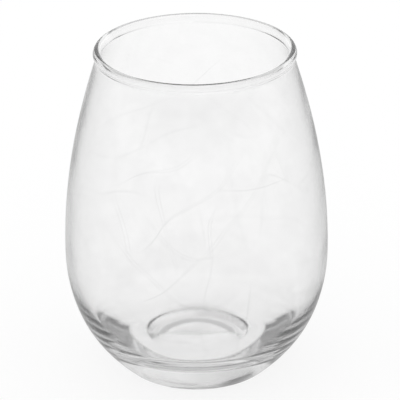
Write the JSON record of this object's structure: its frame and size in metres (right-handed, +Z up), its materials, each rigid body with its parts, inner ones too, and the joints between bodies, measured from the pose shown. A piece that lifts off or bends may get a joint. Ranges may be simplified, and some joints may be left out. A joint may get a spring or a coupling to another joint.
{
  "type": "stemless wine glass",
  "caption": "Stemless wine glass: egg-shaped clear bowl that narrows to a fine beaded rim and stands on a thick base, with a punt under it that pushes the floor up into a low dome.",
  "frame": {"origin": "on the table, in the middle of the bearing ring", "axes": "+Z up along the axis of revolution, towards the rim; X and Y level and interchangeable"},
  "size_m": [0.09, 0.09, 0.116],
  "materials": {
    "glass": "clear colourless soda-lime glass, fire-polished"
  },
  "bodies": {
    "root": {"base": "glass", "lower_bowl": "glass", "upper_bowl": "glass", "rim": "glass"}
  },
  "joints": []
}
